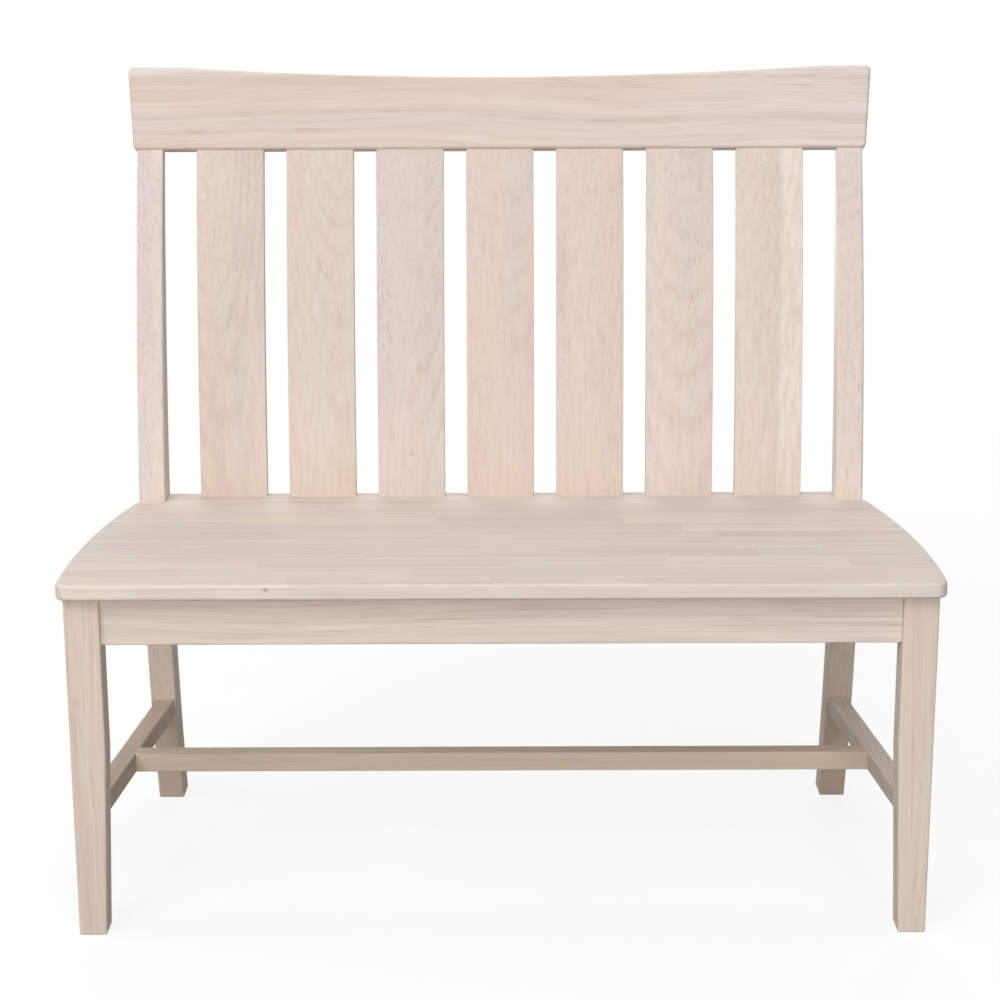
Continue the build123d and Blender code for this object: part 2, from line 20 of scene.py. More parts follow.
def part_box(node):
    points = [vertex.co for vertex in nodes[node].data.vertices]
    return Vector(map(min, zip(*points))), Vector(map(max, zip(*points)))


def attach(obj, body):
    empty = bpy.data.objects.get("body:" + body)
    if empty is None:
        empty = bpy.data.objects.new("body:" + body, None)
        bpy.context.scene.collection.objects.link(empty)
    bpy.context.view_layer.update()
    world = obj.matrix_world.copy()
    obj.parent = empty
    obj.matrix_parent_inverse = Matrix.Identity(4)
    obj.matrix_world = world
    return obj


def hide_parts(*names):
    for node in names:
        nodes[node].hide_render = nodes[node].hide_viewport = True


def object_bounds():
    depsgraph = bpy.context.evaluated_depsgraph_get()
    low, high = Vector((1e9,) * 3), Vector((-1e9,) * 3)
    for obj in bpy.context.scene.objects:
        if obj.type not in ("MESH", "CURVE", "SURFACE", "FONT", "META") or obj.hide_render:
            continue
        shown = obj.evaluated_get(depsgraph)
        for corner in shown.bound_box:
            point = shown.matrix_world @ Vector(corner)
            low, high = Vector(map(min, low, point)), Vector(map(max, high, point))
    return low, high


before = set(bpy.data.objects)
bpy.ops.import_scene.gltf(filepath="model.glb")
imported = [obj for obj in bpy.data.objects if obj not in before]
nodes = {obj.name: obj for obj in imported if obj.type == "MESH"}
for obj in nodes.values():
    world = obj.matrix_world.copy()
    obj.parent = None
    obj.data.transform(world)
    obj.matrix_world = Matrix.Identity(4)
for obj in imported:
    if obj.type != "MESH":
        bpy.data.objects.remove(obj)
cad_low, cad_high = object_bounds()
print("pieces in the frame:", len(nodes), "box:", cad_low, cad_high)

# %% [markdown]
# ## The camera
# A photograph is matched by a camera that stands where the photographer stood. Its distance, height,
# tilt and focal length were fitted to some sixty edges of the bench, so nothing is moved by eye here.
# The lens follows from the focal length in pixels, the width of the picture and the sensor. A camera
# looks along its own -Z, so a right angle about X makes it look level along +Y.

# %% Place the camera
camera_aside = -0.0012
camera_distance = 2.519
camera_height = 1.181
camera_tilt = math.radians(13.84)
camera_roll = math.radians(-0.19)
focal_pixels = 2202
picture_pixels = 1000
sensor_width = 36

lens = bpy.data.cameras.new("camera")
lens.sensor_width = sensor_width
lens.lens = focal_pixels * sensor_width / picture_pixels
camera = bpy.data.objects.new("camera", lens)
eye = Matrix.Translation((camera_aside, cad_low.y - camera_distance, camera_height))
aim = Matrix.Rotation(math.radians(90) - camera_tilt, 4, "X") @ Matrix.Rotation(camera_roll, 4, "Z")
camera.matrix_world = eye @ aim
bpy.context.scene.collection.objects.link(camera)
bpy.context.scene.camera = camera
bpy.context.scene.view_settings.view_transform = "Standard"
print("lens of", round(lens.lens, 2), "mm at", [round(value, 3) for value in camera.location])

# %% [markdown]
# ## A way to write node trees
# A material is a small program made of nodes, and so is a shape that grows from a rule. Wiring
# hundreds of nodes by hand hides the idea, so two classes do it: a `Plan` adds nodes to one tree, and
# a `Wire` is the output of a node. Sums and products of wires read like plain arithmetic and add the
# Math nodes behind the scenes.

# %% A wire
class Wire:
    """The output of a node. Arithmetic on it adds Math nodes to its plan."""

    def __init__(self, plan, socket):
        self.plan, self.socket = plan, socket

    def math(self, operation, *terms):
        return self.plan.node("ShaderNodeMath", {"operation": operation}, *terms)

    def other(self, name):
        """Another output of the same node."""
        return Wire(self.plan, self.socket.node.outputs[name])

    def __add__(self, other):
        return self.math("ADD", self, other)

    def __sub__(self, other):
        return self.math("SUBTRACT", self, other)

    def __rsub__(self, other):
        return self.math("SUBTRACT", other, self)

    def __mul__(self, other):
        return self.math("MULTIPLY", self, other)

    def __truediv__(self, other):
        return self.math("DIVIDE", self, other)

    def __pow__(self, other):
        return self.math("POWER", self, other)

    def __gt__(self, other):
        return self.math("GREATER_THAN", self, other)

    def __lt__(self, other):
        return self.math("LESS_THAN", self, other)

    def __abs__(self):
        return self.math("ABSOLUTE", self)

    __radd__ = __add__
    __rmul__ = __mul__


print("wires ready")

# %% A plan
class Plan:
    """A node tree under construction."""

    def __init__(self, tree):
        self.tree = tree
        tree.nodes.clear()

    def feed(self, socket, value):
        if isinstance(value, Wire):
            self.tree.links.new(value.socket, socket)
        elif value is not None:
            socket.default_value = value

    def node(self, kind, settings=None, *values, **named):
        """Add a node: its settings first, then its sockets in order or by name."""
        made = self.tree.nodes.new(kind)
        for key, value in (settings or {}).items():
            setattr(made, key, value)
        sockets = [socket for socket in made.inputs if socket.enabled]
        for socket, value in zip(sockets, values):
            self.feed(socket, value)
        for name, value in named.items():
            label = name.replace("_", " ").lower()
            self.feed(next(socket for socket in sockets if socket.name.lower() == label), value)
        outputs = [socket for socket in made.outputs if socket.enabled]
        return Wire(self, outputs[0] if outputs else None)

    def vector(self, operation, *terms):
        return self.node("ShaderNodeVectorMath", {"operation": operation}, *terms)

    def scaled(self, direction, length):
        """A vector times a value."""
        return self.node("ShaderNodeVectorMath", {"operation": "SCALE"}, direction, scale=length)

    def point(self, x, y, z):
        return self.node("ShaderNodeCombineXYZ", {}, x, y, z)

    def mix(self, share, first, second):
        """A colour between two colours."""
        return self.node("ShaderNodeMix", {"data_type": "RGBA"}, share, first, second)

    def ease(self, value, low, high):
        """0 below the low value, 1 above the high one, and smooth between them."""
        settings = {"interpolation_type": "SMOOTHSTEP"}
        return self.node("ShaderNodeMapRange", settings, value, low, high, 0.0, 1.0)

    def noise(self, place, stretch, detail=2.0, roughness=0.5):
        """Smooth random values, as many to the metre as the stretch says along each axis."""
        scaled = self.vector("MULTIPLY", place, stretch)
        return self.node(
            "ShaderNodeTexNoise", {}, vector=scaled, scale=1.0, detail=detail, roughness=roughness
        )


print("plans ready")

# %% A colour
screen_levels = 255
dark_limit, dark_slope = 0.04045, 12.92
screen_lift, screen_power = 0.055, 2.4


def linear(level):
    """The amount of light behind a level of a screen."""
    share = level / screen_levels
    if share < dark_limit:
        return share / dark_slope
    return ((share + screen_lift) / (1 + screen_lift)) ** screen_power


def tint(red, green, blue):
    """A colour written from 0 to 255 as the eye sees it, as the linear colour a shader takes."""
    return (linear(red), linear(green), linear(blue), 1.0)


print("a middle grey of 128 is", round(tint(128, 128, 128)[0], 3), "in linear light")

# %% [markdown]
# ## Floor and surroundings
# The bench stands on a plain white sweep. A white that comes from strong lamps would burn out the pale
# wood, so the floor and the world are white only to the camera and to reflections, and are a soft
# grey to the light that bounces round the scene. A part of the floor's colour still answers to the
# lamps, which keeps the soft shadow under the bench.

# %% Make the floor
floor_radius = 30.0
floor_corners = 96
floor_bounce = 0.25
shadow_share = 0.24
floor_glow = 0.8
plain_from, plain_to = 1.3, 3.0
full_white = (1.0, 1.0, 1.0, 1.0)


def seen_by_eye(plan):
    """1 for rays from the camera, for reflections and for light through glass, and 0 for the others."""
    path = plan.node("ShaderNodeLightPath")
    mirrors = path.math("MAXIMUM", path.other("Is Glossy Ray"), path.other("Is Transmission Ray"))
    return path.math("MAXIMUM", path.other("Is Camera Ray"), mirrors)


bpy.ops.mesh.primitive_circle_add(vertices=floor_corners, radius=floor_radius, fill_type="NGON")
floor = bpy.context.object
floor.name = "floor"
paint = bpy.data.materials.new("floor_sweep")
paint.use_nodes = True
plan = Plan(paint.node_tree)
spot = plan.node("ShaderNodeTexCoord").other("Object")
reach = plan.vector("LENGTH", spot)
plain = plan.ease(reach, plain_from, plain_to)
shaded = plan.node("ShaderNodeBsdfDiffuse", {}, color=(shadow_share,) * 3 + (1.0,))
glow = plan.node("ShaderNodeEmission", {}, color=full_white, strength=floor_glow)
white = plan.node("ShaderNodeEmission", {}, color=full_white, strength=1.0)
near = plan.node("ShaderNodeAddShader", {}, shaded, glow)
shown = plan.node("ShaderNodeMixShader", {}, plain, near, white)
bounce = plan.node("ShaderNodeBsdfDiffuse", {}, color=(floor_bounce,) * 3 + (1.0,))
both = plan.node("ShaderNodeMixShader", {}, seen_by_eye(plan), bounce, shown)
plan.node("ShaderNodeOutputMaterial", {}, both)
floor.data.materials.append(paint)
print("floor radius", floor_radius, "m, plain white from", plain_to, "m on")

# %% Light the surroundings
ambient = 0.08
world = bpy.data.worlds.new("studio")
bpy.context.scene.world = world
world.use_nodes = True
plan = Plan(world.node_tree)
to_eye = seen_by_eye(plan)
strength = to_eye + (1 - to_eye) * ambient
sky = plan.node("ShaderNodeBackground", {}, color=full_white, strength=strength)
plan.node("ShaderNodeOutputWorld", {}, sky)
print("light from all round:", ambient)

# %% [markdown]
# ## The lamps
# In the photograph the faces towards the camera are bright down to the floor, the seat's top is nearly
# as bright, and the inner sides of the legs are dark. So most of the light comes from in front: a low
# lamp, a key lamp up on the left and a weaker one high overhead. Lamps at the ends and behind keep the
# other sides readable. The smallest one stands behind the bench and lower than the seat, so that it
# lights the rear legs without raking over the seat's top.

# %% Set up the lamps
aim_height = 0.5
middle = Vector((0.0, 0.0, aim_height))
lamp_distance = 7.0


def lamp(name, azimuth, elevation, size, power):
    """A soft square lamp aimed at the bench. Azimuth 0 is in front, and positive is to the right."""
    light = bpy.data.lights.new(name, "AREA")
    light.size = size
    light.energy = power
    holder = bpy.data.objects.new(name, light)
    turn, rise = math.radians(azimuth), math.radians(elevation)
    away = Vector((math.sin(turn) * math.cos(rise), -math.cos(turn) * math.cos(rise), math.sin(rise)))
    holder.location = middle + away * lamp_distance
    holder.rotation_euler = away.to_track_quat("Z", "Y").to_euler()
    bpy.context.scene.collection.objects.link(holder)
    return holder


lamps = [
    lamp("low_front", azimuth=4, elevation=7, size=3.4, power=208),
    lamp("key", azimuth=-32, elevation=36, size=3.4, power=179),
    lamp("overhead", azimuth=12, elevation=58, size=3.4, power=112),
    lamp("right_end", azimuth=95, elevation=50, size=3.7, power=39),
    lamp("left_end", azimuth=-88, elevation=26, size=3.7, power=116),
    lamp("behind", azimuth=180, elevation=50, size=4.7, power=165),
    lamp("low_behind", azimuth=188, elevation=-1.5, size=0.6, power=130),
]
print("lamps:", [holder.name for holder in lamps])

# %% [markdown]
# ## The wood
# The bench is sanded and left bare: a pale hardwood with soft pink, grey, cream and tan tones. Along
# the grain run faint growth lines, fine fibres and short dark pores. A picture of wood on each face
# would break at every corner. Here the figure is solid instead: it is worked out from the place of
# each point inside the board, so faces, edges and end grain agree. Every board gets its own seed,
# tones and pith, the centre line of the tree that its growth lines run round.

# %% Colours of the bare wood
pink = tint(224, 206, 201)
mauve = tint(219, 205, 202)
grey = tint(215, 208, 202)
cream = tint(229, 219, 205)
pale = tint(231, 224, 215)
tan = tint(224, 205, 188)
sand = tint(224, 211, 199)
leg_tan = tint(233, 215, 197)
leg_cream = tint(232, 217, 200)
vein_brown = tint(197, 173, 157)
vein_pink = tint(210, 184, 170)
pore_brown = tint(166, 138, 117)
sanded_edge_highlight = tint(236, 226, 213)
seat_cream = tint(231, 219, 207)
glue_white = tint(243, 237, 230)
knot_pink = tint(205, 172, 158)
print("red part in linear light: cream", round(cream[0], 3), "pore", round(pore_brown[0], 3))

# %% Grain directions
def board_axes(along, across):
    """The turn that brings the grain to X, the width to Y and the thickness to Z."""
    along, across = Vector(along), Vector(across)
    return Matrix((along, across, along.cross(across))).to_euler()


lengthwise = board_axes((1, 0, 0), (0, 0, 1))
upright = board_axes((0, 0, 1), (1, 0, 0))
backward = board_axes((0, 1, 0), (0, 0, 1))
flat_lengthwise = board_axes((1, 0, 0), (0, 1, 0))
print("turn of an upright board in degrees:", [round(math.degrees(angle)) for angle in upright])

# %% [markdown]
# ### The patterns of the figure
# Figure is a few patterns laid over one another: broad streaks, soft clouds, growth lines, threads,
# fibres, and pores that look like short dashes. Each starts as smooth noise that is stretched along the
# grain, and shows only where the noise is high enough. The tables hold the measures of all of them, so
# that one place sets the character of every board.

# %% Patterns
# how many changes to the metre along, across and through a board, then the detail and the roughness
noises = {
    "sway": ((2.4, 5.0, 5.0), 1.0),
    "streak": ((0.7, 34.0, 34.0), 3.0, 0.6),
    "other_streak": ((1.1, 21.0, 21.0), 2.0),
    "cloud": ((5.0, 14.0, 14.0), 2.0),
    "ripple": ((6.0, 40.0, 40.0), 2.0),
    "lines": ((1.2, 18.0, 18.0),),
    "threads": ((1.5, 150.0, 150.0), 3.0, 0.6),
    "fibres": ((5.0, 250.0, 250.0), 4.0, 0.65),
    "pores": ((17.0, 560.0, 560.0), 1.0),
    "glue": ((4.0, 0.0, 0.0),),
}
# the values between which each pattern goes from unseen to fully seen
rises = {
    "streak": (0.42, 0.62),
    "other_streak": (0.47, 0.66),
    "cloud": (0.45, 0.75),
    "lines": (0.35, 0.65),
    "threads": (0.46, 0.66),
    "fibres": (0.44, 0.72),
    "pores": (0.56, 0.72),
    "pored_streak": (0.35, 0.6),
    "glue": (0.38, 0.5),
    "knot": (0.35, 1.0),
    "edge": (0.015, 0.2),
}
# how far each pattern pulls the colour where it is fully seen, and for threads, fibres and pores
# before the board's own strength is counted in
# the edge pull is how far edges are paled, partly for sanding and partly as a painted highlight
pulls = {
    "cloud": 0.22, "threads": 0.9, "fibres": 0.8, "pores": 0.8, "joint": 0.16, "knot": 0.75, "edge": 0.35,
}
print("patterns:", len(noises))

# %% [markdown]
# ### Places, growth lines and patches
# A point of the bench becomes a place in the board: how far along the grain, across the width and
# through the thickness. Growth lines are rings round the pith, so a board far from the pith shows
# straight lines and a near one shows arches. A patch is a part of a board with another tone, such as
# a strip of sapwood.

# %% Places and growth lines
line_spacing = 0.0085
line_sharpness = 3.0
ripple_reach = 0.004
pith_jump = 0.31


def in_board(plan, spot, box, axes):
    """A point's place along, across and through a board, from the middle of its box."""
    low, high = box
    start = -(axes.to_matrix() @ ((low + high) / 2))
    return plan.node("ShaderNodeMapping", {}, vector=spot, location=start, rotation=axes)


def growth_lines(plan, place, local, sway, jump, pith, slope):
    """Thin dark rings round the pith, cut by the faces of the board, stronger here and weaker there."""
    parts = plan.node("ShaderNodeSeparateXYZ", {}, local)
    along, across, deep = parts, parts.other("Y"), parts.other("Z")
    ripple = plan.noise(place, *noises["ripple"]) - 0.5
    side = across - pith[0] + along * slope[0] + sway
    depth = deep - pith[1] + along * slope[1]
    radius = side.math("SQRT", side * side + depth * depth) + ripple * ripple_reach
    if jump is not None:
        radius = radius + jump.other("Value") * pith_jump
    wave = radius.math("SINE", radius * (2 * math.pi / line_spacing)) * 0.5 + 0.5
    strength = plan.ease(plan.noise(place, *noises["lines"]), *rises["lines"])
    return (wave ** line_sharpness) * strength


print("line every", line_spacing * 1000, "mm")

# %% Patches
patch_softness = 0.007
patch_sway = (0.02, 0.3)
full = (-1, 1)


@dataclass
class Patch:
    """A part of a board with another tone. Its edges are counted from -1 to 1 over the board."""

    across: tuple
    along: tuple
    tone: tuple
    strength: float
    fade: float = 0.001


def in_patch(plan, colour, local, box, axes, sway, patch):
    """Pull the colour towards a patch's tone, softly at the patch's edges."""
    low, high = box
    half = axes.to_matrix() @ ((high - low) / 2)
    parts = plan.node("ShaderNodeSeparateXYZ", {}, local)
    mask = patch.strength
    edges = (
        (parts.other("Y") + sway * patch_sway[0], abs(half.y), patch.across, patch_softness),
        (parts + sway * patch_sway[1], abs(half.x), patch.along, patch.fade),
    )
    for value, reach, (start, end), soft in edges:
        if start > -1:
            mask = plan.ease(value, start * reach - soft, start * reach + soft) * mask
        if end < 1:
            mask = (1 - plan.ease(value, end * reach - soft, end * reach + soft)) * mask
    return plan.mix(mask, colour, patch.tone)


print("patches fade over", 2 * patch_softness * 1000, "mm across the grain")

# %% [markdown]
# ### Blocks, glue lines and knots
# A stave of the seat is not one board but several short blocks, joined end to end by small zigzag
# fingers. A point belongs to the block whose joints it has passed, so the masks below count joints and
# give every count its own piece of timber. Between staves the glue shows as a thin pale line.

# %% Blocks
finger_reach = 0.006
fingers = 5
joint_width = 0.0004
# a part of a block's random colour, the level it has to pass, and the strength and tone that follow
block_tones = (("Red", 0.62, 0.45, grey), ("Green", 0.66, 0.4, seat_cream), ("Blue", 0.66, 0.4, mauve))


def block_index(plan, spot, blocks):
    """How many joints lie to the left of a point, and whether it is on one of them."""
    places, underside, thickness = blocks
    parts = plan.node("ShaderNodeSeparateXYZ", {}, spot)
    height = (parts.other("Z") - underside) * (fingers / thickness)
    tooth = (1 - abs(height.math("FRACT", height) * 2 - 1)) * finger_reach
    past = parts - tooth
    index, joint = None, None
    for place in places:
        step = past > place
        close = abs(past - place) < joint_width
        index = step if index is None else index + step
        joint = close if joint is None else joint.math("MAXIMUM", joint, close)
    return index, joint


def block_colours(plan, colour, jump, joint):
    """A small change of tone from block to block, and the joint itself as a thin line."""
    parts = plan.node("ShaderNodeSeparateColor", {}, jump.other("Color"))
    for part, level, strength, tone in block_tones:
        colour = plan.mix((parts.other(part) > level) * strength, colour, tone)
    return plan.mix(joint * pulls["joint"], colour, vein_brown)


print("fingers in a joint:", fingers)

# %% Glue lines and knots
line_width = 0.0009


def glue_lines(plan, colour, spot, bounds):
    """The thin pale lines along both long edges of a stave, broken here and there."""
    depth = plan.node("ShaderNodeSeparateXYZ", {}, spot).other("Y")
    broken = plan.ease(plan.noise(spot, *noises["glue"]), *rises["glue"])
    for edge, strength in bounds:
        line = (abs(depth - edge) < line_width) * broken
        colour = plan.mix(line * strength, colour, glue_white)
    return colour


@dataclass
class Knot:
    """A small mark where a branch grew, with its place on the bench."""

    centre: tuple
    size: tuple
    tone: tuple


def knotted(plan, colour, spot, knot):
    """Darken the colour in a knot, and fade the knot into the wood round it."""
    offset = plan.vector("DIVIDE", plan.vector("SUBTRACT", spot, knot.centre), knot.size)
    near = 1 - plan.ease(plan.vector("LENGTH", offset), *rises["knot"])
    return plan.mix(near * pulls["knot"], colour, knot.tone)


print("glue lines are", 2 * line_width * 1000, "mm wide, half of it on each stave")

# %% [markdown]
# ### One recipe for every board
# The recipe lays the patterns over the board's main tone, broad ones first. The place wanders sideways
# a little, as grain does, and each seed and each block starts somewhere else in the noise, so no two
# pieces match. Edges are a little paler, partly from the sanding and partly as a painted highlight
# where rounded edges catch the light. Fibres stand up from the surface, while pores and growth lines
# lie below it.

# %% Broad tones and fine figure
other_shift = (9.0, 3.0, 5.0)


def broad_tones(plan, place, tones, streaks):
    """The main tone with streaks of the two other tones, and the pattern of the first streaks."""
    main, second, third = tones
    streak = plan.noise(place, *noises["streak"])
    other_streak = plan.noise(plan.vector("ADD", place, other_shift), *noises["other_streak"])
    colour = plan.mix(plan.ease(streak, *rises["streak"]) * streaks, main, second)
    colour = plan.mix(plan.ease(other_streak, *rises["other_streak"]) * streaks, colour, third)
    return colour, streak


def fine_figure(plan, colour, place, streak, lines, fine):
    """Growth lines, threads, fibres and pores over a colour. Pores keep to the first streaks."""
    threads = plan.noise(place, *noises["threads"])
    fibres = plan.noise(place, *noises["fibres"])
    dashes = plan.noise(place, *noises["pores"])
    pores = plan.ease(dashes, *rises["pores"]) * plan.ease(streak, *rises["pored_streak"])
    colour = plan.mix(lines, colour, vein_brown)
    colour = plan.mix(plan.ease(threads, *rises["threads"]) * (fine * pulls["threads"]), colour, vein_pink)
    colour = plan.mix(plan.ease(fibres, *rises["fibres"]) * (fine * pulls["fibres"]), colour, vein_brown)
    return plan.mix(pores * (fine * pulls["pores"]), colour, pore_brown), fibres, pores


print("broad tones and fine figure ready")

# %% The bare surface
edge_samples = 4
pale_edge_radius = 0.0022
fibre_height, pore_depth, line_depth = 0.4, 0.8, 0.4
relief_strength, relief_height = 0.35, 0.00025
sanded_roughness, fibre_polish, pore_dullness = 0.66, 0.12, 0.1
bare_shine = 0.2


def bare_surface(plan, colour, lines, fibres, pores):
    """The shader of sanded wood without a finish: paler edges (sanding and a painted highlight), a slight
    relief and a dull shine.
    """
    rounded = plan.node("ShaderNodeBevel", {"samples": edge_samples}, radius=pale_edge_radius)
    facing = plan.node("ShaderNodeNewGeometry").other("Normal")
    edge = plan.ease(1 - plan.vector("DOT_PRODUCT", rounded, facing), *rises["edge"])
    # painted highlight: rounded edges are paled where they catch the light, on top of the real sanding
    colour = plan.mix(edge * pulls["edge"], colour, sanded_edge_highlight)
    relief = fibres * fibre_height - pores * pore_depth - lines * line_depth
    bump = plan.node("ShaderNodeBump", {}, strength=relief_strength, distance=relief_height, height=relief)
    roughness = sanded_roughness - fibres * fibre_polish + pores * pore_dullness
    return plan.node(
        "ShaderNodeBsdfPrincipled", {}, base_color=colour, roughness=roughness, normal=bump,
        specular_ior_level=bare_shine,
    )


print("edges are paler within", pale_edge_radius * 1000, "mm")

# %% The recipe
shift_range = (3, 40)
block_step = 17.3
block_jump = (30.0, 0.0, 30.0)
place_wander, line_wander = 4, 2


def wood(name, box, axes, seed, tones, streaks=0.6, wander=0.006, fine=0.3, figure=0.25,
         pith=(0.01, 0.09), slope=(0.0, 0.0), blocks=None, bounds=(), patches=(), knots=(), own=None):
    """A bare wood material for a board that fills a box.

    tones: the main colour and two streak colours. streaks, figure, fine: the strength of the streaks,
    of the growth lines and of the fibres. wander: how far the grain strays sideways. pith, slope: where
    the tree's centre line is and how it leans. blocks, bounds: joints and glue lines. patches, knots:
    parts of another tone and marks of branches. own: the attribute that holds each point's place, for
    pins that lie in several directions.
    """
    material = bpy.data.materials.new(name)
    material.use_nodes = True
    plan = Plan(material.node_tree)
    dice = random.Random(seed)
    if own is None:
        spot = plan.node("ShaderNodeTexCoord").other("Object")
    else:
        spot = plan.node("ShaderNodeAttribute", {"attribute_name": own}).other("Vector")
    local = in_board(plan, spot, box, axes)
    shift = Vector(dice.uniform(*shift_range) for _ in range(3))
    place = plan.vector("ADD", local, shift)
    jump = None
    if blocks is not None:
        index, joint = block_index(plan, spot, blocks)
        jump = plan.node("ShaderNodeTexWhiteNoise", {"noise_dimensions": "1D"}, index + seed * block_step)
        place = plan.vector("MULTIPLY_ADD", jump.other("Color"), block_jump, place)
    sway = plan.noise(place, *noises["sway"]) - 0.5
    place = plan.vector("ADD", place, plan.point(0.0, sway * (wander * place_wander), 0.0))

    colour, streak = broad_tones(plan, place, tones, streaks)
    for patch in patches:
        colour = in_patch(plan, colour, local, box, axes, sway, patch)
    cloud = plan.noise(place, *noises["cloud"])
    colour = plan.mix(plan.ease(cloud, *rises["cloud"]) * pulls["cloud"], colour, pink)
    if blocks is not None:
        colour = block_colours(plan, colour, jump, joint)
    lines = growth_lines(plan, place, local, sway * (wander * line_wander), jump, pith, slope) * figure
    colour, fibres, pores = fine_figure(plan, colour, place, streak, lines, fine)
    if bounds:
        colour = glue_lines(plan, colour, spot, bounds)
    for knot in knots:
        colour = knotted(plan, colour, spot, knot)
    shader = bare_surface(plan, colour, lines, fibres, pores)
    plan.node("ShaderNodeOutputMaterial", {}, shader)
    return material


print("each board starts", shift_range[0], "to", shift_range[1], "m away in the noise")

# %% [markdown]
# ### Handing out the boards
# Each piece takes the recipe with the direction of its own grain. Posts and legs run upright, rails and
# the crest run from side to side, and the pieces between front and rear legs run backward. The crest is
# the showpiece: a pale painted highlight along its rounded top, then a warmer band with fine wavy
# lines, and greyer below.

# %% Crest rail
def dress(name, material):
    """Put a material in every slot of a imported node."""
    for slot in nodes[name].material_slots:
        slot.material = material


def board(name, axes, seed, tones, **more):
    dress(name, wood("wood_" + name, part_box(name), axes, seed, tones, **more))


crest_tones = (tint(225, 210, 200), tint(218, 206, 199), tint(226, 207, 193))
board(
    "crest_rail", lengthwise, seed=11, tones=crest_tones, streaks=0.7, wander=0.011, fine=0.4,
    figure=0.34, pith=(0.05, 0.1), slope=(0.012, 0.0),
    patches=(
        Patch((0.25, 0.75), full, tint(222, 198, 182), 0.65),
        # painted highlight: a pale band along the rounded top, where light from above falls on it
        Patch((0.8, 1), full, tint(229, 223, 216), 0.75),
        Patch((-0.55, 0.0), full, tint(219, 206, 199), 0.6),
        Patch(full, (0.45, 1), tint(231, 219, 215), 0.55, fade=0.16),
    ),
)
print("crest rail dressed")

# %% Rear legs
post_tones = (tint(229, 215, 207), tint(223, 211, 208), tint(228, 212, 199))
board(
    "rear_leg_left", upright, seed=22, tones=post_tones, figure=0.2, pith=(0.03, 0.1),
    slope=(0.01, 0.02),
    patches=(
        Patch((0.55, 1), (-0.1, 0.9), cream, 0.6),
        Patch((-0.7, 0.2), (0.35, 1), mauve, 0.6),
        # painted light and shade: below the seat the leg takes a tone tuned to the light there, and the foot
        # is painted darker as shade
        Patch(full, (-1, -0.06), tint(231, 215, 196), 0.75, fade=0.03),
        Patch(full, (-1, -0.62), tint(208, 186, 164), 0.75, fade=0.12),
    ),
)
board(
    "rear_leg_right", upright, seed=25, tones=post_tones, figure=0.2, pith=(-0.02, 0.1),
    slope=(-0.01, 0.02),
    patches=(
        Patch(full, (-1, 0.21), tint(224, 215, 210), 0.6),
        Patch(full, (0.21, 0.66), tint(229, 214, 203), 0.7),
        Patch(full, (0.66, 1), tint(227, 212, 209), 0.7),
        # painted light and shade: below the seat the leg takes a tone tuned to the light there, and the foot
        # is painted darker as shade
        Patch(full, (-1, -0.06), tint(239, 221, 199), 0.8, fade=0.03),
        Patch(full, (-1, -0.62), tint(208, 186, 164), 0.75, fade=0.12),
    ),
)
print("rear legs dressed")

# %% Front legs and frame
leg_tones = (leg_tan, leg_cream, tint(222, 204, 190))
leg_knot = Knot((-0.518, cad_low.y + 0.015, 0.305), (0.008, 0.02, 0.007), tint(221, 197, 183))
# painted shade and painted light: the left stretcher is painted darker and the right one lighter, as the
# light comes from the left
shaded_stretcher_tones = (tint(203, 183, 164), tint(208, 185, 163), tint(199, 185, 171))
lit_stretcher_tones = (tint(234, 218, 203), tint(232, 212, 196), tint(228, 219, 211))
sides = (("left", 31, shaded_stretcher_tones, (leg_knot,)), ("right", 37, lit_stretcher_tones, ()))
for side, seed, stretcher_tones, knots in sides:
    board(
        "front_leg_" + side, upright, seed=seed, tones=leg_tones, figure=0.2, fine=0.34,
        pith=(0.02, 0.08), slope=(0.02, 0.0), knots=knots,
    )
    board("side_apron_" + side, backward, seed=seed + 10, tones=(sand, tan, cream))
    board("side_stretcher_" + side, backward, seed=seed + 20, tones=stretcher_tones)
    board("corner_block_front_" + side, flat_lengthwise, seed=seed + 30, tones=(leg_tan, cream, sand))
    board("corner_block_rear_" + side, flat_lengthwise, seed=seed + 40, tones=(sand, tan, cream))
apron_tones = (tint(237, 223, 211), tint(234, 225, 216), tint(233, 216, 201))
cross_tones = (tint(224, 205, 182), tint(228, 211, 187), tint(219, 196, 176))
board(
    "front_apron", lengthwise, seed=81, tones=apron_tones, wander=0.009, fine=0.4, slope=(0.01, 0.0),
    patches=(Patch((0.3, 0.85), (0.6, 0.74), tint(226, 199, 187), 0.5, fade=0.02),),
)
board("lower_back_rail", lengthwise, seed=82, tones=(sand, grey, cream))
board("cross_stretcher", lengthwise, seed=83, tones=cross_tones)
print("front legs, aprons, stretchers and corner blocks dressed")

# %% [markdown]
# ### The seat
# The seat is a plank of staves, and each stave is a row of blocks. The imported staves are cut into
# blocks at the joints listed here, as shares of the seat's width. Its tones are greyer and pinker than
# the back's, with a painted light that makes them lighter towards the rear. Most glue lines are faint
# and three stand out. The front stave has a small dark knot in its edge.

# %% Seat staves
seat_low, seat_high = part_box("seat_stave_3")
joint_shares = [
    [0.26, 0.49, 0.66, 0.86],
    [0.14, 0.40, 0.73],
    [0.22, 0.51, 0.69, 0.90],
    [0.34, 0.57, 0.80],
    [0.12, 0.37, 0.62, 0.88],
    [0.24, 0.47, 0.76],
    [0.31, 0.55, 0.72, 0.92],
    [0.17, 0.42, 0.65],
    [0.28, 0.50, 0.83],
    [0.19, 0.45, 0.70],
    [0.33, 0.61, 0.85],
]
seat_width = cad_high.x - cad_low.x
front_tone = (221, 213, 207)
